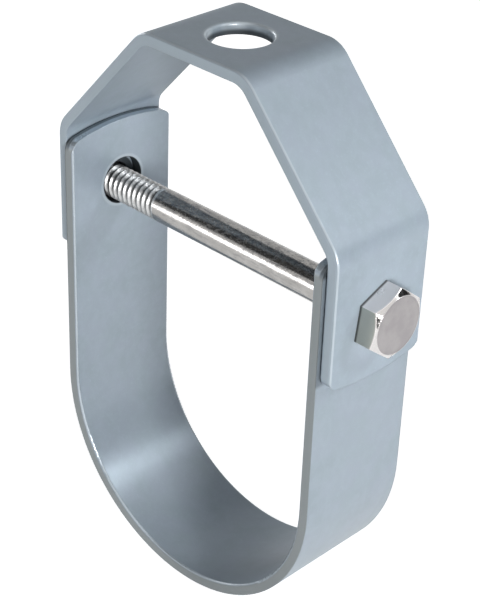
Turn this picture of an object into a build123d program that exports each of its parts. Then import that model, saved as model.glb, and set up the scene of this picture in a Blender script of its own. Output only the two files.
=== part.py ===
"""Clevis pipe hanger: a bent yoke on a threaded rod carries a U strap on one long cross bolt.

X runs along the cross bolt, with the bolt's head on the +X side, and Y runs along the pipe. The origin
is the rod hole's centre on the underside of the yoke's top, where the rod's nut bears.
"""

import os
from math import cos, pi, radians, tan

from build123d import *

# Strip steel that both straps are bent from: its long edges are rolled over on the side it was slit from
yoke_thickness = 2.1
yoke_width = 22.2
strap_thickness = 2.1
strap_width = 23.4
edge_roll = 0.5

# Lower strap: its holes are loose on the bolt, and it is held a little above the place where it would hang
pipe_diameter = 57.0
pipe_clearance = 0.5
hole_to_pipe = 37.1
strap_ear_height = 12.2
strap_ear_end_radius = 42.0
strap_ear_corner = 2.5
strap_hole_clearance = 1.3
strap_lift = 0.9

# Yoke: the shoulder height and the top width run to the corners where its middle lines would meet
rod_seat_to_bolt = 35.8
shoulder_height = 13.9
top_width = 23.2
bend_radius = 3.8
ear_gap = 0.3
yoke_ear_drop = 11.1
yoke_ear_end_radius = 48.5
yoke_ear_corner = 2.3
yoke_hole_clearance = 0.4
rod_hole_diameter = 11.1
rod_hole_roll = 0.5

# Cross bolt and nut
bolt_diameter = 6.35
bolt_length = 76.2
thread_length = 25.0
thread_allowance = 0.05
tip_chamfer = 0.8
head_width = 11.1
head_height = 4.0
head_face_diameter = 10.2
head_turn = 22.5
nut_width = 11.1
nut_height = 5.6
nut_face_diameter = 10.2
nut_turn = 8.0
nut_countersink = 0.5
nut_clearance = 0.05
wrench_chamfer_angle = 30.0

# Places that follow from the sizes above
saddle_radius = pipe_diameter / 2 + pipe_clearance
strap_outside = saddle_radius + strap_thickness
yoke_inside = strap_outside + ear_gap
yoke_outside = yoke_inside + yoke_thickness
bolt_height = -rod_seat_to_bolt
strap_hole_height = bolt_height + strap_lift
pipe_height = strap_hole_height - hole_to_pipe
bolt_radius = bolt_diameter / 2
bolt_axis = Axis((0, 0, bolt_height), (1, 0, 0))
bolt_tip = yoke_outside - bolt_length


def strip_section_plane(line):
    """Gives the plane square to the start of a bending line, with its x along the strip's width."""
    return Plane(origin=line @ 0, x_dir=(0, 1, 0), z_dir=line % 0)


def strip_section(width, thickness, roll):
    """Draws the strip's section with two rolled corners, on the side that its plane's y points to."""
    with BuildSketch() as section:
        Rectangle(width, thickness)
        fillet(section.vertices().group_by(Axis.Y)[-1], roll)
    return section.sketch


def ear_outline(width, end, end_radius, corner, root):
    """Draws an ear seen along the bolt, from its root to its shallow round end above or below it."""
    outward = 1 if end > root else -1
    sagitta = end_radius - (end_radius**2 - (width / 2) ** 2) ** 0.5
    shoulder = end - outward * sagitta
    with BuildSketch() as outline:
        with BuildLine():
            Polyline((-width / 2, shoulder), (-width / 2, root), (width / 2, root), (width / 2, shoulder))
            ThreePointArc((-width / 2, shoulder), (0, end), (width / 2, shoulder))
        make_face()
        fillet(outline.vertices().sort_by(Axis.Y, reverse=outward > 0)[:2], corner)
    return outline.sketch


def turning_plane(x):
    """Gives the plane that a turned profile is drawn on: x along the bolt from x, y out from its axis."""
    return Plane(origin=(x, 0, bolt_height), x_dir=(1, 0, 0), z_dir=(0, -1, 0))


def wrench_blank(seat, width, height, face_diameter, turn, chamfer_both_ends):
    """Makes a hexagon along X from its seat, its corners cut to a cone around each round face."""
    corner_radius = width / 2 / cos(pi / 6)
    face_radius = face_diameter / 2
    fall = (corner_radius - face_radius) * tan(radians(wrench_chamfer_angle))
    with BuildPart() as blank:
        with BuildSketch(Plane.YZ.offset(seat)):
            with Locations((0, bolt_height)):
                RegularPolygon(width / 2, 6, major_radius=False, rotation=turn)
        extrude(amount=height)
        with BuildSketch(turning_plane(seat)):
            with BuildLine():
                if chamfer_both_ends:
                    Polyline((0, 0), (0, face_radius), (fall, corner_radius))
                else:
                    Polyline((0, 0), (0, corner_radius), (fall, corner_radius))
                Line((fall, corner_radius), (height - fall, corner_radius))
                Polyline((height - fall, corner_radius), (height, face_radius), (height, 0), (0, 0))
            make_face()
        revolve(axis=bolt_axis, mode=Mode.INTERSECT)
    return blank.part


# Lower strap: one strip bent to a U around the pipe, its ears inside the yoke's
strap_line_radius = saddle_radius + strap_thickness / 2
strap_ear_top = strap_hole_height + strap_ear_height
strap_trim = strap_outside + strap_thickness
strap_ear_root = pipe_height - strap_trim
with BuildPart() as strap:
    with BuildLine(Plane.XZ) as strap_line:
        Line((-strap_line_radius, strap_ear_top), (-strap_line_radius, pipe_height))
        CenterArc((0, pipe_height), strap_line_radius, 180, 180)
        Line((strap_line_radius, pipe_height), (strap_line_radius, strap_ear_top))
    with BuildSketch(strip_section_plane(strap_line.line)):
        add(strip_section(strap_width, strap_thickness, edge_roll))
    sweep()
    with BuildSketch(Plane.YZ):
        add(ear_outline(strap_width, strap_ear_top, strap_ear_end_radius, strap_ear_corner, strap_ear_root))
    extrude(amount=strap_trim, both=True, mode=Mode.INTERSECT)
    with BuildSketch(Plane.YZ):
        with Locations((0, strap_hole_height)):
            Circle(bolt_radius + strap_hole_clearance)
    extrude(amount=strap_trim, both=True, mode=Mode.SUBTRACT)
strap.part.label = "strap"

# Yoke: one strip with four bends, flat on top for the rod and upright where the bolt goes through
yoke_ear_end = bolt_height - yoke_ear_drop
yoke_ear_line = yoke_inside + yoke_thickness / 2
yoke_shoulder = bolt_height + shoulder_height
yoke_top_line = yoke_thickness / 2
yoke_trim = yoke_outside + yoke_thickness
yoke_ear_root = 2 * yoke_thickness
with BuildPart() as yoke:
    with BuildLine(Plane.XZ) as yoke_line:
        FilletPolyline(
            (-yoke_ear_line, yoke_ear_end),
            (-yoke_ear_line, yoke_shoulder),
            (-top_width / 2, yoke_top_line),
            (top_width / 2, yoke_top_line),
            (yoke_ear_line, yoke_shoulder),
            (yoke_ear_line, yoke_ear_end),
            radius=bend_radius + yoke_thickness / 2,
        )
    with BuildSketch(strip_section_plane(yoke_line.line)):
        add(strip_section(yoke_width, yoke_thickness, edge_roll))
    sweep()
    with BuildSketch(Plane.YZ):
        add(ear_outline(yoke_width, yoke_ear_end, yoke_ear_end_radius, yoke_ear_corner, yoke_ear_root))
    extrude(amount=yoke_trim, both=True, mode=Mode.INTERSECT)
    with BuildSketch(Plane.YZ):
        with Locations((0, bolt_height)):
            Circle(bolt_radius + yoke_hole_clearance)
    extrude(amount=yoke_trim, both=True, mode=Mode.SUBTRACT)
    with BuildSketch():
        Circle(rod_hole_diameter / 2)
    extrude(amount=yoke_thickness, mode=Mode.SUBTRACT)
    rod_hole_rims = yoke.edges().filter_by(GeomType.CIRCLE).filter_by(lambda rim: rim.is_closed)
    fillet(rod_hole_rims.sort_by(Axis.Z)[-1], rod_hole_roll)
yoke.part.label = "yoke"

# Cross bolt: hexagon head against the right ear, plain shank, thread at the far end
thread_radius = bolt_radius - thread_allowance
thread_start = bolt_tip + thread_length
with BuildPart() as cross_bolt:
    add(wrench_blank(yoke_outside, head_width, head_height, head_face_diameter, head_turn, False))
    with BuildSketch(turning_plane(0)):
        with BuildLine():
            Polyline(
                (yoke_outside, 0),
                (yoke_outside, bolt_radius),
                (thread_start + thread_allowance, bolt_radius),
                (thread_start, thread_radius),
                (bolt_tip + tip_chamfer, thread_radius),
                (bolt_tip, thread_radius - tip_chamfer),
                (bolt_tip, 0),
                close=True,
            )
        make_face()
    revolve(axis=bolt_axis)
cross_bolt.part.label = "cross_bolt"

# Nut: seated on the outside of the left ear
nut_seat = -yoke_outside
nut_bore = bolt_radius + nut_clearance
with BuildPart() as hex_nut:
    add(wrench_blank(nut_seat - nut_height, nut_width, nut_height, nut_face_diameter, nut_turn, True))
    with BuildSketch(turning_plane(nut_seat)):
        with BuildLine():
            Polyline(
                (0, 0),
                (0, nut_bore + nut_countersink),
                (-nut_countersink, nut_bore),
                (nut_countersink - nut_height, nut_bore),
                (-nut_height, nut_bore + nut_countersink),
                (-nut_height, 0),
                close=True,
            )
        make_face()
    revolve(axis=bolt_axis, mode=Mode.SUBTRACT)
hex_nut.part.label = "hex_nut"

os.makedirs("parts", exist_ok=True)
for piece in (yoke, strap, cross_bolt, hex_nut):
    export_step(piece.part, f"parts/{piece.part.label}.step")
    print(piece.part.label, "volume", round(piece.part.volume, 1), piece.part.bounding_box())
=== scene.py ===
# %% [markdown]
# A clevis pipe hanger in Blender
#
# The hanger is four pieces of steel. A bent yoke hangs on a threaded rod, a U strap carries the pipe,
# and one long cross bolt with a nut joins the two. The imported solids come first, as a fixed frame.
# Everything here is in metres, in that frame: X along the cross bolt, Y along the pipe, Z up, and the
# origin at the rod hole. Whatever is made below goes where the solids say, so nothing is fitted by eye.

# %% Load the frame
from math import atan2, cos, hypot, pi, radians, sin, tan
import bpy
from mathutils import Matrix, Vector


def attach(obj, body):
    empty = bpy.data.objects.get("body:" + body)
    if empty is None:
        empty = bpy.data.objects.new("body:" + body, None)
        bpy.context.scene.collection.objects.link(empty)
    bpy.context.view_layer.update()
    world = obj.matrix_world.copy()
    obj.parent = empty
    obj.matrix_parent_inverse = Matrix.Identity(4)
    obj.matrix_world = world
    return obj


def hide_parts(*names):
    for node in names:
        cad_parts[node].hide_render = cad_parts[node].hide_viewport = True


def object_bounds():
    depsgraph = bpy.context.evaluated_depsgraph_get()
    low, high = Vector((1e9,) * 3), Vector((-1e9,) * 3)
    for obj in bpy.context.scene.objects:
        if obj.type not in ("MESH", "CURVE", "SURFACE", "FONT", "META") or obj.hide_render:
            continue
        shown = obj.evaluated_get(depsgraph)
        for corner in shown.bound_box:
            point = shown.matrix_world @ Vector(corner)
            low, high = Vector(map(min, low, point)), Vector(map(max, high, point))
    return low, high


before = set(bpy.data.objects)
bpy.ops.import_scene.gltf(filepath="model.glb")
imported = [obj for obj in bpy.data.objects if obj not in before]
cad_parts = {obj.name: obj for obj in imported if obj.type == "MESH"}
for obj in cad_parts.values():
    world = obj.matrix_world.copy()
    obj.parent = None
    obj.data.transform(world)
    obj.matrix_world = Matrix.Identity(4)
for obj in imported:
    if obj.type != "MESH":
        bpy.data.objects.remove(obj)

from types import SimpleNamespace

import bmesh
import bpy
from mathutils import Matrix, Vector

MM = 0.001
solid_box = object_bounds()
print("nodes", sorted(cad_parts))
print("box of the solids in mm", [[round(c / MM, 1) for c in corner] for corner in solid_box])

# %% [markdown]
# Shader maths that reads like Python
#
# A finish is a sum of small effects, such as a soft patch of colour, a fine grain and a worn edge.
# Wiring each Math node by hand hides that sum. So one small class wraps a socket, and the plain signs
# plus, minus and times add the Math nodes. The reflected forms make 1 - mask work too. One method
# makes any other node: it takes the node's type, its settings, and what its sockets get.

# %% Sockets that can be added and multiplied
class Value:
    """A socket that gives a value. Signs between values add Math nodes to the same finish."""

    def __init__(self, finish, socket):
        self.finish = finish
        self.socket = socket

    def maths(self, operation, *others):
        return self.finish.maths(operation, self, *others)

    def __add__(self, other):
        return self.maths("ADD", other)

    def __sub__(self, other):
        return self.maths("SUBTRACT", other)

    def __rsub__(self, other):
        return self.finish.maths("SUBTRACT", other, self)

    def __mul__(self, other):
        return self.maths("MULTIPLY", other)

    __radd__ = __add__
    __rmul__ = __mul__

    def clamped(self):
        return self.maths("MAXIMUM", 0.0).maths("MINIMUM", 1.0)

    def step(self, low, high):
        """Goes smoothly from 0 at low to 1 at high."""
        settings = {"interpolation_type": "SMOOTHSTEP"}
        inputs = {"Value": self, "From Min": low, "From Max": high}
        return self.finish.node("ShaderNodeMapRange", settings, inputs)["Result"]


class Outputs:
    """The outputs of one node, by name or by place."""

    def __init__(self, finish, node):
        self.finish = finish
        self.sockets = node.outputs

    def __getitem__(self, key):
        return Value(self.finish, self.sockets[key])


# %% A finish is a node tree with one way to add a node
class Finish:
    """The node tree of a material or of the world."""

    def __init__(self, tree):
        self.tree = tree
        self.tree.nodes.clear()

    def node(self, kind, settings=None, inputs=None):
        made = self.tree.nodes.new(kind)
        for name, setting in (settings or {}).items():
            setattr(made, name, setting)
        for key, given in (inputs or {}).items():
            socket = made.inputs[key]
            if isinstance(given, Value):
                self.tree.links.new(given.socket, socket)
            else:
                socket.default_value = given
        return Outputs(self, made)

    def maths(self, operation, *terms):
        return self.node("ShaderNodeMath", {"operation": operation}, dict(enumerate(terms)))[0]

    def vector_maths(self, operation, *terms):
        return self.node("ShaderNodeVectorMath", {"operation": operation}, dict(enumerate(terms)))

    def blend(self, factor, first, second):
        """Mixes two colours. Colours given as numbers get their fourth channel here."""
        first, second = (c if isinstance(c, Value) else (*c, 1.0) for c in (first, second))
        return self.node("ShaderNodeMix", {"data_type": "RGBA"}, {0: factor, 6: first, 7: second})[2]

    def noise(self, place, size, detail=2.0, roughness=0.5, stretch=None):
        """Soft noise from 0 to 1, whose grains are about size across, longer along a stretch."""
        if stretch is not None:
            place = self.vector_maths("MULTIPLY", place, stretch)["Vector"]
        inputs = {"Vector": place, "Scale": 1 / size, "Detail": detail, "Roughness": roughness}
        return self.node("ShaderNodeTexNoise", None, inputs)["Fac"]

    def show(self, shader, output="ShaderNodeOutputMaterial"):
        self.node(output, None, {"Surface": shader})


def new_finish(name):
    material = bpy.data.materials.new(name)
    material.use_nodes = True
    return material, Finish(material.node_tree)


# %% [markdown]
# The camera
#
# A camera can be dragged until the picture looks right, or worked out from the object's own sizes.
# It was worked out here: the hanger's edges, bends and bolt head were matched to their places in the
# photograph, which gives where the camera stood, how it was turned, and its lens. The view comes from
# above and from the bolt head's side, and the camera is rolled by about two degrees.

# %% Camera
eye = Vector((0.175418, -0.178965, 0.101000))
right = Vector((0.704569, 0.708903, 0.032226))
up = Vector((-0.380889, 0.339464, 0.860051))
ahead = Vector((-0.598753, 0.618240, -0.509190))
FOCAL_PIXELS = 1646.93
LONG_SIDE_PIXELS = 596
SENSOR_WIDTH = 36.0


def add_object(name, data):
    """Makes an object and puts it in the scene."""
    made = bpy.data.objects.new(name, data)
    bpy.context.scene.collection.objects.link(made)
    return made


camera_data = bpy.data.cameras.new("camera")
camera_data.sensor_width = SENSOR_WIDTH
camera_data.lens = FOCAL_PIXELS / LONG_SIDE_PIXELS * SENSOR_WIDTH
camera = add_object("camera", camera_data)
turn = Matrix((right, up, -ahead)).transposed().to_4x4()
camera.matrix_world = Matrix.Translation(eye) @ turn
bpy.context.scene.camera = camera
print("lens", round(camera_data.lens, 2), "mm")

# %% [markdown]
# The stage
#
# The photograph shows the hanger on pure white. A stronger lamp would bleach the steel, so the white
# comes from the floor and the world themselves. Light Path tells a shader what kind of ray is looking.
# Rays from the camera, and rays that bounced off shiny metal, see the world at a strength of 1. Other
# rays see a much dimmer room, which keeps the steel's colour. The floor's own glow stays a little under
# white and the lamps do the rest, so that the hanger's soft shadow stays on it.

# %% White for the eye and for the metal, dimmer for everything else
ROOM_LIGHT = 0.06
FLOOR_GLOW = 0.86
COOL_WHITE = (0.93, 0.97, 1.0, 1.0)
PURE_WHITE = (1.0, 1.0, 1.0, 1.0)
PAPER = (0.86, 0.86, 0.86, 1.0)


def seen_directly(finish):
    """1 for rays from the camera, from a mirror-like bounce or through glass, and 0 for the rest."""
    rays = finish.node("ShaderNodeLightPath")
    bounced = rays["Is Glossy Ray"].maths("MAXIMUM", rays["Is Transmission Ray"])
    return rays["Is Camera Ray"].maths("MAXIMUM", bounced)


world = bpy.data.worlds.new("white_room")
bpy.context.scene.world = world
world.use_nodes = True
sky = Finish(world.node_tree)
room = sky.node("ShaderNodeBackground", None, {"Color": COOL_WHITE, "Strength": ROOM_LIGHT})[0]
white = sky.node("ShaderNodeBackground", None, {"Color": PURE_WHITE, "Strength": 1.0})[0]
sky_mix = sky.node("ShaderNodeMixShader", None, {0: seen_directly(sky), 1: room, 2: white})[0]
sky.show(sky_mix, "ShaderNodeOutputWorld")

floor_material, paper = new_finish("floor_paper")
matt = paper.node("ShaderNodeBsdfDiffuse", None, {"Color": PAPER})[0]
glow = paper.node("ShaderNodeEmission", None, {"Color": PURE_WHITE, "Strength": FLOOR_GLOW})[0]
seen_glow = paper.node("ShaderNodeMixShader", None, {0: seen_directly(paper), 2: glow})[0]
paper.show(paper.node("ShaderNodeAddShader", None, {0: matt, 1: seen_glow})[0])
print("room light", ROOM_LIGHT, "floor glow", FLOOR_GLOW)

# %% Floor
FLOOR_SIZE = 6.0


def flat_sheet(name, width, height, material):
    """Makes a flat sheet around its own middle, which faces up its own Z."""
    mesh = bpy.data.meshes.new(name)
    w, h = width / 2, height / 2
    mesh.from_pydata([(-w, -h, 0), (w, -h, 0), (w, h, 0), (-w, h, 0)], [], [(0, 1, 2, 3)])
    mesh.materials.append(material)
    return add_object(name, mesh)


floor = flat_sheet("floor", FLOOR_SIZE, FLOOR_SIZE, floor_material)
floor.location.z = solid_box[0][2]
print("floor at", round(floor.location.z / MM, 1), "mm")

# %% [markdown]
# The lamps
#
# Soft product light comes from a few square lamps near the object. In the photograph the faces that
# look to the right are bright, and the top and the bottom of the curve are dark, so the key lamp
# stands low on the right. The sheen lamp, high at the far right, draws the bright band in the strap's
# curve. The front and far lamps lift the sides that those two miss. The glint lamp shows only in
# shine: it brightens the band but not the steel's own colour. Powers could be set by eye, one lamp
# after the other, but each lamp changes what the others have to do. So the hanger was rendered with
# one trial lamp at a time, and the shares that add up to the photograph's levels were worked out.

# %% Lamps
LAMP_DISTANCE = 0.75
COOL = (0.90, 0.96, 1.0)
lamp_aim = Vector((0.0, 0.0, -0.05))


def away_from(point, direction, distance):
    """Gives the place at a distance from a point, in a direction."""
    return point + Vector(direction).normalized() * distance


def aim(thing, axis, point):
    """Turns an axis of a placed object to a point."""
    thing.rotation_euler = (point - thing.location).to_track_quat(axis, "Y").to_euler()


def add_lamp(name, direction, size, power, colour=(1.0, 1.0, 1.0)):
    """Hangs a square area lamp in a direction from the hanger's middle, and aims it there."""
    data = bpy.data.lights.new(name, "AREA")
    data.size = size
    data.energy = power
    data.color = colour
    lamp = add_object(name, data)
    lamp.location = away_from(lamp_aim, direction, LAMP_DISTANCE)
    aim(lamp, "-Z", lamp_aim)
    return lamp


add_lamp("key_lamp", (0.90, -0.37, 0.14), 0.20, 3.1)
add_lamp("sheen_lamp", (0.60, 0.52, 0.56), 0.15, 1.25, COOL)
add_lamp("front_lamp", (-0.60, -0.80, 0.08), 0.20, 0.6)
add_lamp("far_lamp", (-0.90, 0.02, 0.25), 0.40, 1.9)
glint = add_lamp("glint_lamp", (0.57, 0.50, 0.61), 0.17, 0.42, COOL)
glint.visible_diffuse = False

# %% [markdown]
# Cards for the bright metal
#
# Bright metal has little colour of its own: it shows what stands around it. In an all white room the
# shank would be a white bar. Photographers stand dark cards beside such a piece, and their reflection
# draws its roundness. Here the shank card hangs high on the left, and two small ones stand beside the
# bolt head. Two grey ones dim the white that the yoke's top and the strap's curve mirror. Cards show
# only in reflections: neither the camera nor soft light sees them, and they cast no shadow. The flag
# does the opposite. It only casts a shadow, and keeps the sheen lamp off the far half of the curve.

# %% Cards
ALL_RAYS = ("camera", "diffuse", "glossy", "transmission", "volume_scatter", "shadow")
IN_SHINE = ("glossy",)
IN_SHADOW = ("shadow",)
BLACK = 0.02


def add_card(name, centre, facing, size, seen_by, tone=BLACK):
    """Hangs a card of one tone at a place, turned to a point, for the kinds of ray that are named."""
    material, paint = new_finish(name + "_paint")
    emitted = {"Color": (tone, tone, tone, 1.0), "Strength": 1.0}
    paint.show(paint.node("ShaderNodeEmission", None, emitted)[0])
    card = flat_sheet(name, *size, material)
    card.location = centre
    aim(card, "Z", facing)
    for kind in ALL_RAYS:
        setattr(card, "visible_" + kind, kind in seen_by)


head_place = Vector((0.0355, 0.0, -0.0358))
for name, point, direction, distance, size, tone in (
    ("shank_card", lamp_aim, (-0.60, -0.207, 0.773), 0.60, (0.66, 0.60), 0.07),
    ("top_card", lamp_aim, (-0.60, 0.66, 0.45), 0.65, (0.42, 0.42), 0.80),
    ("curve_card", lamp_aim, (-0.14, 0.57, 0.81), 0.65, (0.38, 0.34), 0.30),
    ("low_card", head_place, (0.95, -0.22, -0.15), 0.2960, (0.18, 0.14), BLACK),
    ("back_card", head_place, (0.55, 0.81, 0.14), 0.2967, (0.22, 0.20), BLACK),
):
    add_card(name, away_from(point, direction, distance), point, size, IN_SHINE, tone)
    print(name, size, "m, tone", tone)

flag_place = Vector((0.060, 0.139, -0.030))
left_of_flag = flag_place + Vector((-1.0, 0.0, 0.0))
add_card("sheen_flag", flag_place, left_of_flag, (0.15, 0.13), IN_SHADOW)

# %% [markdown]
# Satin steel for the two straps
#
# The straps look like plated strip with a satin, slightly mottled skin of bluish grey. Three things
# make it: soft patches a few centimetres across, with a faint tint, a fine grain that breaks up the
# gloss, and edges that are rubbed a little brighter. The edge mask compares the surface's own
# direction with one that a Bevel node has rounded: they differ only along an edge.

# %% Masks from the place and the direction on a piece
BOLT_HEIGHT = -35.8 * MM


def edge_mask(finish, radius):
    """Gives the rounded normal near edges, and a mask that is 1 on the edges themselves."""
    rounded = finish.node("ShaderNodeBevel", {"samples": 6}, {"Radius": radius})["Normal"]
    flat = finish.node("ShaderNodeNewGeometry")["Normal"]
    alike = finish.vector_maths("DOT_PRODUCT", rounded, flat)["Value"]
    return rounded, (1.0 - alike).step(0.02, 0.25)


def split(finish, vector):
    """Gives the three numbers of a vector."""
    parts = finish.node("ShaderNodeSeparateXYZ", None, {"Vector": vector})
    return parts["X"], parts["Y"], parts["Z"]


def reach(a, b):
    """Distance from an axis, given the two places square to it."""
    return (a * a + b * b).maths("SQRT")


def below(value, low, high):
    """1 under low, 0 over high."""
    return 1.0 - value.step(low, high)


def add_metal(finish, colour, metallic, roughness, height, strength, depth, rounded):
    """Makes the surface of a metal, with a fine relief over the rounded normal."""
    relief = {"Strength": strength, "Distance": depth, "Height": height, "Normal": rounded}
    metal = {
        "Base Color": colour,
        "Metallic": metallic,
        "Roughness": roughness.clamped(),
        "Normal": finish.node("ShaderNodeBump", None, relief)["Normal"],
    }
    finish.show(finish.node("ShaderNodeBsdfPrincipled", None, metal)[0])


# %% [markdown]
# Marks that belong to one place
#
# Each strap also has marks of its own, and most of them are painted light and shade. Punching leaves a
# rolled rim around each hole, and that rim is painted brighter, as a highlight. The cut walls inside
# the holes are painted dark, as shade. So are the narrow gap between the two ears and the tops of the
# strap's ears beside the yoke. The yoke is painted a little darker at its crown and under its
# shoulders, and the
# strap at the right of its bend: painted shade. Such a mark could be painted on a flat map of the
# surface.
# It is worked out from the place in millimetres here, so it stays on its hole at any resolution. Each
# pair of numbers below is where a mark starts to fade and where it ends.

# %% Marks of the yoke
def mm(low, high):
    return low * MM, high * MM


YOKE_HOLE_WALL = mm(3.62, 3.72)
SEEN_THROUGH_STRAP = mm(4.6, 5.0)
YOKE_INNER_FACE = mm(31.5, 31.7)
ROD_HOLE_WALL = mm(5.60, 5.75)
ROD_WALL_FOOT = mm(-0.6, -0.3)
ROD_WALL_HEAD = mm(0.5, 1.3)
ROD_RIM_WIDTH = mm(6.0, 6.4)
ROD_RIM_HEIGHT = mm(1.3, 1.7)
CROWN = mm(-22.0, -2.0)
SHOULDERS = mm(-24.0, -16.0)
FACING_DOWN = (-0.62, -0.35)


def yoke_marks(steel, here):
    """Gives the places painted with shade and the places painted with a highlight on the yoke."""
    x, y, z = split(steel, here["Object"])
    facing_up = split(steel, here["Normal"])[2]
    from_bolt = reach(y, z - BOLT_HEIGHT)
    from_rod = reach(x, y)
    inner_face = below(x.maths("ABSOLUTE"), *YOKE_INNER_FACE)
    # Painted shade: the inner face seen through the strap's hole and the walls of the bolt hole and the
    # rod hole are darkened.
    behind_hole = below(from_bolt, *SEEN_THROUGH_STRAP) * inner_face
    bolt_wall = below(from_bolt, *YOKE_HOLE_WALL)
    in_plate = below(z, *ROD_WALL_HEAD) * z.step(*ROD_WALL_FOOT)
    rod_wall = below(from_rod, *ROD_HOLE_WALL) * in_plate
    # Painted highlight: the rod hole's rolled rim is made brighter.
    rod_rim_highlight = below(from_rod, *ROD_RIM_WIDTH) * z.step(*ROD_RIM_HEIGHT)
    # Painted shade: the crown and the undersides of the shoulders are a little darker.
    under_shoulder = below(facing_up, *FACING_DOWN) * z.step(*SHOULDERS)
    darkened_as_shade = z.step(*CROWN) * 0.10 + under_shoulder * 0.16
    dark = (behind_hole + bolt_wall + rod_wall * 0.8 + darkened_as_shade).clamped()
    return dark, rod_rim_highlight


# %% Marks of the strap
STRAP_LIFT = 0.9 * MM
STRAP_HOLE_HEIGHT = BOLT_HEIGHT + STRAP_LIFT
STRAP_HOLE_WALL = mm(4.50, 4.60)
RIM_STARTS = mm(4.52, 4.64)
RIM_ENDS = mm(4.9, 5.3)
STRAP_OUTER_FACE = mm(30.85, 31.02)
UNDER_YOKE_EAR = mm(-46.4, -45.4)
STRAP_EAR = mm(30.0, 30.4)
STRAP_EAR_END = mm(-26.4, -24.6)
BEND = mm(-96.0, -72.0)
BEND_RIGHT = mm(-14.0, 6.0)


def strap_marks(steel, here):
    """Gives the places painted with shade and the places painted with a highlight on the U strap."""
    x, y, z = split(steel, here["Object"])
    across = x.maths("ABSOLUTE")
    from_hole = reach(y, z - STRAP_HOLE_HEIGHT)
    # Painted shade: the hole's wall, the outer face under the yoke's ear, the ear's top beside the yoke
    # and the right of the bend are darker.
    hole_wall = below(from_hole, *STRAP_HOLE_WALL)
    # Painted highlight: a ring around the strap's hole is made brighter.
    hole_rim_highlight = from_hole.step(*RIM_STARTS) * below(from_hole, *RIM_ENDS)
    under_ear = across.step(*STRAP_OUTER_FACE) * z.step(*UNDER_YOKE_EAR)
    ear_end = across.step(*STRAP_EAR) * z.step(*STRAP_EAR_END)
    bend_shade = below(z, *BEND) * x.step(*BEND_RIGHT)
    dark = (hole_wall + under_ear * 0.5 + ear_end * 0.8 + bend_shade * 0.20).clamped()
    return dark, hole_rim_highlight


print("yoke's holes at", round(BOLT_HEIGHT / MM, 1), "and strap's at", round(STRAP_HOLE_HEIGHT / MM, 1))

# %% [markdown]
# One finish for both straps
#
# The yoke and the strap are bent from like strip, so one function makes both finishes, each with its
# own colours, gloss and shift of the noise. Two copies of one material would soon differ by mistake.
# The steel is painted brighter where the strip's long edges were rolled over, as a highlight: there the
# surface leans halfway between side and face. The cut side faces squarely along the pipe. So the
# direction of the surface gives both masks, and they follow the strip round its bends.

# %% Colour of the satin skin
def tinted(colour, factors):
    """Multiplies a colour's channels, each by its own factor."""
    return tuple(channel * factor for channel, factor in zip(colour, factors))


def satin_colour(steel, colour, dull_colour, patches, tint, dapple, grain):
    """Gives the mottled colour: patches, a faint tint, small dapples and fine light grains."""
    body = steel.blend(patches.step(0.25, 0.75), dull_colour, colour)
    cool = steel.blend(tint.step(0.3, 0.7) * 0.5, body, tinted(colour, (1.02, 0.97, 1.03)))
    dappled = steel.blend(dapple.step(0.35, 0.7) * 0.28, cool, tinted(colour, (1.1, 1.1, 1.1)))
    return steel.blend((grain - 0.55).clamped() * 0.8, dappled, tinted(colour, (1.4, 1.4, 1.4)))


# %% Strap finish
# Light colour of edges rubbed bright, also used as a painted highlight on the rolled edges and the hole
# rims.
WORN_AND_HIGHLIGHT_STEEL = (0.66, 0.73, 0.78)
# Colour of the painted shade in the holes, the gap between the ears, the crown and the bend.
SHADE_PAINT = (0.020, 0.028, 0.033)
STRAP_EDGE = 0.35 * MM


def strap_steel(name, colour, dull_colour, cut_colour, roughness, metal, shift, marks):
    """Makes the finish of one strap."""
    material, steel = new_finish(name)
    here = steel.node("ShaderNodeTexCoord")
    place = steel.vector_maths("ADD", here["Object"], shift)["Vector"]
    patches = steel.noise(place, 20 * MM, detail=3.0)
    tint = steel.noise(place, 5 * MM)
    dapple = steel.noise(place, 1.8 * MM)
    grain = steel.noise(place, 0.45 * MM, detail=3.0, roughness=0.6)
    rounded, edges = edge_mask(steel, STRAP_EDGE)
    sideways = split(steel, here["Normal"])[1].maths("ABSOLUTE")
    rolled = (4.0 * sideways * (1.0 - sideways)).step(0.35, 0.95)
    cut_side = sideways.step(0.90, 0.98)
    dark, bright = marks(steel, here)
    skin = satin_colour(steel, colour, dull_colour, patches, tint, dapple, grain)
    sheared = steel.blend(cut_side * 0.8, skin, cut_colour)
    # Rubbed edges, plus a painted highlight on the rolled edges and on the hole rims.
    worn = (edges * 0.3 + rolled * 0.65 + bright * 0.45).clamped()
    worn_and_highlit = steel.blend(worn, sheared, WORN_AND_HIGHLIGHT_STEEL)
    uneven = (patches - 0.5) * 0.10 + (grain - 0.5) * 0.12
    add_metal(
        steel,
        # The marked places are blended to a dark colour: painted shade.
        colour=steel.blend(dark * 0.93, worn_and_highlit, SHADE_PAINT),
        metallic=(metal + rolled * 0.35) * (1.0 - dark),
        roughness=roughness + uneven - rolled * 0.14 + dark * 0.4,
        height=grain * 0.7 + dapple * 0.3, strength=0.14, depth=0.05 * MM, rounded=rounded,
    )
    return material


finishes = {
    "yoke": strap_steel(
        # The yoke's cut sides get a lighter colour than its faces: a painted highlight.
        "yoke_satin_steel", (0.44, 0.525, 0.59), (0.39, 0.465, 0.53), (0.57, 0.67, 0.75),
        roughness=0.46, metal=0.05, shift=(0.0, 0.0, 0.0), marks=yoke_marks,
    ),
    "strap": strap_steel(
        "strap_satin_steel", (0.405, 0.48, 0.54), (0.355, 0.425, 0.48), (0.33, 0.36, 0.36),
        roughness=0.34, metal=0.12, shift=(0.31, 0.17, 0.53), marks=strap_marks,
    ),
}
for node, finish in finishes.items():
    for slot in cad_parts[node].material_slots:
        slot.material = finish
    print(finish.name, "on", len(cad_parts[node].material_slots), "slot of", node)

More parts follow.
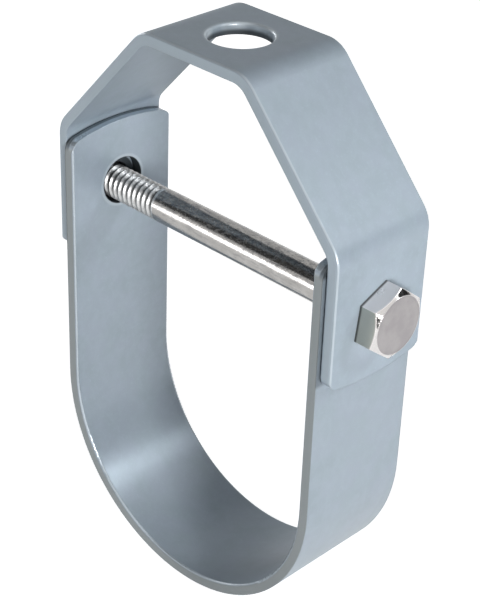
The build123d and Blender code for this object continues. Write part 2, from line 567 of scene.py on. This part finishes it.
# %% [markdown]
# Hexagons with turned corners
#
# A bolt head and a nut are cut from a hexagon whose corners are then turned to a shallow cone, which
# leaves a round face and a curved edge on each flat. A cylinder with six sides can't show that. Here
# each point around the outline runs up its flat until it meets the cone, so the curved edges come by
# themselves. The points stand closer together at the corners, where the hexagon is slightly rounded.

# %% Outline of the hexagon
HEX_WIDTH = 11.1 * MM
HEX_CORNER = 0.22 * MM
HEAD_TURN = 22.5
FLAT_POINTS = 9
CORNER_POINTS = 4


def hex_outline(turn_degrees):
    """Gives the points (y, z) of a hexagon with slightly rounded corners, around the bolt's axis."""
    to_corner = (HEX_WIDTH / 2 - HEX_CORNER) / cos(pi / 6)

    def on_corner(side, lean_degrees):
        """Gives a point of a corner's rounding, which leans to one side or the other."""
        middle = radians(turn_degrees + 60 * side)
        lean = middle + radians(lean_degrees)
        y = to_corner * cos(middle) + HEX_CORNER * cos(lean)
        z = to_corner * sin(middle) + HEX_CORNER * sin(lean)
        return y, z

    points = []
    for side in range(6):
        for k in range(CORNER_POINTS):
            points.append(on_corner(side, 60 * k / (CORNER_POINTS - 1) - 30))
        (y1, z1), (y2, z2) = on_corner(side, 30), on_corner(side + 1, -30)
        for k in range(1, FLAT_POINTS):
            share = k / FLAT_POINTS
            points.append((y1 + (y2 - y1) * share, z1 + (z2 - z1) * share))
    return points


head_points = hex_outline(HEAD_TURN)
print("points around the head", len(head_points))

# %% Rings of points around the bolt
FACE_RADIUS = 5.1 * MM
CONE_SLOPE = tan(radians(30))


def ring(mesh, places, points):
    """Adds a ring of points, each at its own place along the bolt."""
    return [mesh.verts.new((x, y, BOLT_HEIGHT + z)) for x, (y, z) in zip(places, points)]


def flat_ring(mesh, x, points):
    """Adds a ring that lies square to the bolt."""
    return ring(mesh, [x] * len(points), points)


def round_points(angles, radius):
    return [(radius * cos(a), radius * sin(a)) for a in angles]


def cone_falls(points):
    """Gives how far behind the round face each point of the hexagon meets the cone."""
    return [(hypot(y, z) - FACE_RADIUS) * CONE_SLOPE for y, z in points]


def join_rings(mesh, *rings):
    """Joins each ring to the next."""
    for first, second in zip(rings, rings[1:]):
        for i in range(len(first)):
            k = (i + 1) % len(first)
            mesh.faces.new((first[i], first[k], second[k], second[i]))


def close_ring(mesh, loop):
    """Fills a ring with a fan from its middle, which stays flat when it is shaded smooth."""
    middle = sum((v.co for v in loop), Vector()) / len(loop)
    centre = mesh.verts.new(middle)
    for i in range(len(loop)):
        mesh.faces.new((loop[i], loop[(i + 1) % len(loop)], centre))


print("deepest fall of the cone", round(max(cone_falls(head_points)) / MM, 2), "mm")

# %% [markdown]
# A thread that really is a screw
#
# Rings of grooves look like a thread from afar, but they don't climb. Here the mesh itself climbs:
# each row of points follows the helix, one pitch further along after one turn, and the row's last
# point joins the row that starts one pitch on. A row keeps one depth all along, so crests and roots
# stay crisp. The pitch of 1.27 mm and the 60 degree flanks are those of a quarter-inch bolt.

# %% Rows of a thread
PITCH = 1.27 * MM
THREAD_DEPTH = 0.6134 * PITCH
THREAD_LENGTH = 25.0 * MM
THREAD_PROFILE = (
    (0.0, 0.0), (0.125, 0.0), (0.302, 0.5), (0.46, 0.93), (0.5625, 1.0), (0.665, 0.93), (0.823, 0.5),
)


def helix_rows(mesh, angles, low, high, radius_at):
    """Adds climbing rows between two places on the axis. Returns the first and the last row."""
    shares = [angle % (2 * pi) / (2 * pi) for angle in angles]
    rows = []
    for t in range(-1, int((high - low) / PITCH) + 2):
        for phase, depth in THREAD_PROFILE:
            row = []
            for angle, share in zip(angles, shares):
                x = min(max(low + (t + phase + share) * PITCH, low), high)
                r = radius_at(x, depth)
                row.append(mesh.verts.new((x, r * cos(angle), BOLT_HEIGHT + r * sin(angle))))
            rows.append(row)
    last = len(rows) - 1
    start = shares.index(min(shares))
    for j in range(last):
        for i in range(len(angles)):
            k = (i + 1) % len(angles)
            climb = len(THREAD_PROFILE) if k == start else 0
            here, there = min(j + climb, last), min(j + 1 + climb, last)
            corners = (rows[j][i], rows[here][k], rows[there][k], rows[j + 1][i])
            if len(set(corners)) > 2:
                mesh.faces.new(list(dict.fromkeys(corners)))
    return rows[0], rows[-1]


print("thread of", round(THREAD_LENGTH / PITCH, 1), "turns, depth", round(THREAD_DEPTH / MM, 2), "mm")

# %% [markdown]
# From mesh work to a piece
#
# Sharp edges of real steel are never quite sharp, and their narrow rounding is what catches the light.
# A Bevel modifier would round every edge of the thread too, so only chosen edges get a true bevel. The
# flats and the cone meet along soft edges, and plain smooth shading would blur them into each other.
# Weighted normals let the large faces decide, so each of them stays crisp.

# %% Bevels, and what every new piece needs
EDGE_BEVEL = 0.13 * MM
BEVEL_FROM = radians(14)
SHARP_FROM = radians(42)
SAME_PLACE = 0.002 * MM


def bevel_edges(mesh, chosen):
    """Rounds the sharp edges between the points that a test picks."""
    bmesh.ops.remove_doubles(mesh, verts=mesh.verts, dist=SAME_PLACE)
    mesh.normal_update()
    edges = [
        e for e in mesh.edges
        if len(e.link_faces) == 2 and all(chosen(v.co) for v in e.verts)
        and e.calc_face_angle() > BEVEL_FROM
    ]
    bmesh.ops.bevel(
        mesh, geom=edges, offset=EDGE_BEVEL, segments=2, profile=0.5, affect="EDGES", clamp_overlap=True
    )


def piece_from(mesh, name, body, node, material):
    """Turns finished mesh work into a named piece that rides on its body and stands for its node."""
    bmesh.ops.remove_doubles(mesh, verts=mesh.verts, dist=SAME_PLACE)
    bmesh.ops.recalc_face_normals(mesh, faces=mesh.faces)
    data = bpy.data.meshes.new(name)
    mesh.to_mesh(data)
    mesh.free()
    piece = add_object(name, data)
    data.materials.append(material)
    data.shade_smooth()
    data.set_sharp_from_angle(angle=SHARP_FROM)
    weighted = piece.modifiers.new("weighted_normals", "WEIGHTED_NORMAL")
    weighted.keep_sharp = True
    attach(piece, body)
    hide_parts(node)
    print(name, "triangles", sum(len(p.vertices) - 2 for p in data.polygons))


# %% [markdown]
# The cross bolt
#
# The real bolt is cold formed in one piece, head and shank together, and its thread is rolled. So it
# is one skin here too, ring by ring: the head's round face, the cone, the flats, the shank, the thread
# with its run-out, and the chamfered tip. A head and a shank that are only pushed into each other are
# quicker to make, but they show a seam at the neck, and the mesh is no longer one closed solid.

# %% Bolt
HEAD_SEAT = 33.5 * MM
HEAD_FACE = HEAD_SEAT + 4.0 * MM
BOLT_RADIUS = 6.35 / 2 * MM
CREST_RADIUS = BOLT_RADIUS - 0.05 * MM
BOLT_TIP = HEAD_SEAT - 76.2 * MM
THREAD_START = BOLT_TIP + THREAD_LENGTH
TIP_CHAMFER = 0.8 * MM
RUN_OUT = 0.7 * PITCH


def bolt_radius_at(x, depth):
    """The bolt's radius at a place on its axis, for a row of the thread that is so deep."""
    fade = min(max((THREAD_START - x) / RUN_OUT, 0.0), 1.0)
    crest = BOLT_RADIUS + (CREST_RADIUS - BOLT_RADIUS) * fade
    groove = crest - depth * THREAD_DEPTH * fade
    cone = CREST_RADIUS - TIP_CHAMFER + (x - BOLT_TIP)
    return min(groove, cone)


head_angles = [atan2(z, y) for y, z in head_points]
bolt = bmesh.new()
face_ring = flat_ring(bolt, HEAD_FACE, round_points(head_angles, FACE_RADIUS))
cone_ring = ring(bolt, [HEAD_FACE - fall for fall in cone_falls(head_points)], head_points)
seat_ring = flat_ring(bolt, HEAD_SEAT, head_points)
neck_ring = flat_ring(bolt, HEAD_SEAT, round_points(head_angles, BOLT_RADIUS))
close_ring(bolt, face_ring)
join_rings(bolt, face_ring, cone_ring, seat_ring, neck_ring)
tip_row, start_row = helix_rows(bolt, head_angles, BOLT_TIP, THREAD_START, bolt_radius_at)
join_rings(bolt, neck_ring, start_row)
close_ring(bolt, tip_row)
bevel_edges(bolt, lambda point: point.x > HEAD_SEAT + EDGE_BEVEL / 2)
print("bolt from", round(BOLT_TIP / MM, 1), "to", round(HEAD_FACE / MM, 1), "mm")

# %% [markdown]
# Bright zinc for the bolt and the nut
#
# The shank is bright zinc: nearly a mirror, drawn out in fine lines along its length, and speckled on
# its upper side, where its dark streaks are denser as a painted reflection. The head's face is duller,
# because the die left it matt. The flats that face along the pipe are painted darker, as shade. The
# cone that was turned on the corners is the brightest. Painted shade, with some oil, sits in the
# thread's valleys and where the head meets the ear. Such places could be painted on an unwrapped map.
# Masks made
# from the place on the piece need no map: how far it is along the axis, how far from the axis, and
# which way the surface faces there.

# %% Masks on the bolt and the nut
HEX_STARTS = mm(4.6, 5.0)
FACE_ENDS = mm(5.10, 5.22)
FACE_DEPTH = mm(-0.14, -0.07)
CORNER_WIDTH = mm(0.25, 0.6)
THREAD_FADES_IN = 0.1 * MM
THREAD_FADES_OUT = 0.3 * MM


def places_on(zinc, here, face_at, seat_at, thread, valley):
    """Gives a mask for each kind of place on a bolt or a nut."""
    along, y, z = split(zinc, here["Object"])
    out = reach(y, z - BOLT_HEIGHT)
    facing_out, facing_pipe, facing_up = split(zinc, here["Normal"])
    facing_out = facing_out.maths("ABSOLUTE")
    hexagon = out.step(*HEX_STARTS)
    face = (along - face_at).step(*FACE_DEPTH) * below(out, *FACE_ENDS)
    cone = hexagon * facing_out.step(0.5, 0.8) * below(facing_out, 0.93, 0.98)
    after_start = along.step(thread[0], thread[0] + THREAD_FADES_IN)
    on_thread = after_start * below(along, thread[1], thread[1] + THREAD_FADES_OUT)
    return SimpleNamespace(
        hexagon=hexagon,
        face=face,
        cone=cone,
        flats=(hexagon - face - cone).clamped(),
        # The flats that face along the pipe get a painted shade.
        shaded_flat=hexagon * facing_pipe.maths("ABSOLUTE").step(0.85, 0.95),
        corner=hexagon * below((along - seat_at).maths("ABSOLUTE"), *CORNER_WIDTH),
        thread=on_thread,
        valley=below(out, *valley) * on_thread,
        shank=1.0 - (on_thread + hexagon).clamped(),
        upper_side=facing_up.step(0.1, 0.6),
    )


# %% Colour of the zinc
SHANK_DULL, SHANK_LIGHT = (0.355, 0.345, 0.332), (0.43, 0.42, 0.407)
FACE_DULL, FACE_LIGHT = (0.345, 0.325, 0.33), (0.40, 0.378, 0.38)
PLATED = (0.64, 0.64, 0.635)
DRAWN = (0.17, 0.17, 0.18)
TRIMMED = (0.96, 0.91, 0.90)
# Colour of the painted shade on the flats that face along the pipe.
SHADED_FLAT_COLOUR = (0.38, 0.40, 0.35)
TURNED = (0.62, 0.60, 0.59)
# Colour of the painted shade, with some oil, in the thread's valleys and at the head's seat.
VALLEY_SHADE_AND_OIL = (0.045, 0.05, 0.05)
RUBBED_ZINC = (0.88, 0.88, 0.87)


def zinc_colour(zinc, on, blotches, streaks, edges):
    """Lays the colour of each kind of place over the one before."""
    shank = zinc.blend(blotches.step(0.3, 0.75), SHANK_DULL, SHANK_LIGHT)
    plating = zinc.blend(on.shank, PLATED, shank)
    streaked = zinc.blend(streaks, plating, DRAWN)
    # Painted shade on the flats that face along the pipe.
    trimmed = zinc.blend(on.hexagon * 0.9, streaked, TRIMMED)
    darkened_as_shade = zinc.blend(on.shaded_flat * 0.85, trimmed, SHADED_FLAT_COLOUR)
    turned = zinc.blend(on.cone * 0.9, darkened_as_shade, TURNED)
    face = zinc.blend(blotches.step(0.35, 0.7), FACE_DULL, FACE_LIGHT)
    faced = zinc.blend(on.face, turned, face)
    # Painted shade, with some oil, in the thread's valleys and around the head's seat.
    shaded = zinc.blend((on.valley * 0.88 + on.corner * 0.85).clamped(), faced, VALLEY_SHADE_AND_OIL)
    return zinc.blend(edges * (1.0 - on.face) * 0.35, shaded, RUBBED_ZINC)


# %% Zinc finish
ZINC_EDGE = 0.12 * MM


def bright_zinc(name, face_at, seat_at, thread, valley):
    """Makes the zinc finish of a bolt or a nut from the places of its face, seat and thread."""
    material, zinc = new_finish(name)
    here = zinc.node("ShaderNodeTexCoord")
    place = here["Object"]
    on = places_on(zinc, here, face_at, seat_at, thread, valley)
    lines = zinc.noise(place, 0.45 * MM, roughness=0.55, stretch=(0.10, 1.0, 1.0))
    specks = zinc.noise(place, 0.50 * MM, roughness=0.6, stretch=(0.35, 1.0, 1.0))
    flecks = zinc.noise(place, 0.42 * MM, detail=3.0, roughness=0.6, stretch=(0.6, 1.0, 1.0))
    blotches = zinc.noise(place, 2.6 * MM, detail=3.0)
    grain = zinc.noise(place, 0.30 * MM)
    rounded, edges = edge_mask(zinc, ZINC_EDGE)
    drawn = (lines.step(0.48, 0.66) * 0.35 + specks.step(0.50, 0.62) * 0.5).clamped()
    # The dark streaks are denser on the upper side: a painted reflection of the dark above, over the
    # drawn lines.
    streaks = drawn * (1.0 - on.hexagon) * (0.45 + on.upper_side * 0.55)
    light_grains = flecks.step(0.50, 0.58) * on.shank * on.upper_side
    worn = (blotches - 0.5) * 0.10 + on.valley * 0.3 + on.corner * 0.3
    add_metal(
        zinc,
        colour=zinc_colour(zinc, on, blotches, streaks, edges),
        metallic=1.0 - on.flats * 0.35 - light_grains * 0.6 - on.thread * 0.2,
        roughness=0.19 + on.hexagon * 0.10 + on.face * 0.18 - on.cone * 0.16 + on.thread * 0.10 + worn,
        height=(lines * 0.6 + grain * 0.4) * (1.0 + on.shank * 2.2 - on.cone * 0.7),
        strength=0.22, depth=0.03 * MM, rounded=rounded,
    )
    return material


bolt_finish = bright_zinc(
    "bolt_bright_zinc", face_at=HEAD_FACE, seat_at=HEAD_SEAT,
    thread=(BOLT_TIP + TIP_CHAMFER, THREAD_START),
    valley=(CREST_RADIUS - 0.95 * THREAD_DEPTH, CREST_RADIUS - 0.30 * THREAD_DEPTH),
)
piece_from(bolt, "threaded_cross_bolt", "cross_bolt", "cross_bolt", bolt_finish)

# %% [markdown]
# The nut
#
# The nut is the same hexagon, turned to a cone at both ends, with a countersunk hole. Its thread is
# cut outwards from the bore by the same climbing rows. It has no die-matt face, so the place of its
# face is set far off the piece.

# %% Nut
NUT_SEAT = -33.5 * MM
NUT_BACK = NUT_SEAT - 5.6 * MM
NUT_BORE = BOLT_RADIUS + 0.05 * MM
NUT_TURN = 8.0
COUNTERSINK = 0.5 * MM
NUT_GROOVE = 0.30 * MM
NUT_SHADE = 0.4 * MM
NO_FACE = 1.0


def nut_radius_at(x, depth):
    """The nut's inner radius: wider at both mouths, and grooved where the bolt has its crests."""
    mouth = max(NUT_BACK + COUNTERSINK - x, x - NUT_SEAT + COUNTERSINK)
    groove = NUT_BORE + (1.0 - depth) * NUT_GROOVE
    return max(groove, NUT_BORE + mouth)


nut_points = hex_outline(NUT_TURN)
nut_angles = [atan2(z, y) for y, z in nut_points]
nut_face = round_points(nut_angles, FACE_RADIUS)
nut = bmesh.new()
back_mouth, front_mouth = helix_rows(nut, nut_angles, NUT_BACK, NUT_SEAT, nut_radius_at)
back_face = flat_ring(nut, NUT_BACK, nut_face)
back_cone = ring(nut, [NUT_BACK + fall for fall in cone_falls(nut_points)], nut_points)
seat_cone = ring(nut, [NUT_SEAT - fall for fall in cone_falls(nut_points)], nut_points)
seat_face = flat_ring(nut, NUT_SEAT, nut_face)
join_rings(nut, back_mouth, back_face, back_cone, seat_cone, seat_face, front_mouth)
bevel_edges(nut, lambda point: hypot(point.y, point.z - BOLT_HEIGHT) > HEX_STARTS[0])
nut_finish = bright_zinc(
    "nut_bright_zinc", face_at=NO_FACE, seat_at=NUT_SEAT,
    thread=(NUT_BACK, NUT_SEAT), valley=(NUT_BORE, NUT_BORE + NUT_SHADE),
)
piece_from(nut, "threaded_hex_nut", "hex_nut", "hex_nut", nut_finish)

# %% [markdown]
# Last look
#
# The colours are shown as they are, with the plain view transform. The dressed hanger is no larger than
# its solids, but for a hair at the bolt head's bevel.

# %% Colour view
bpy.context.scene.view_settings.view_transform = "Standard"
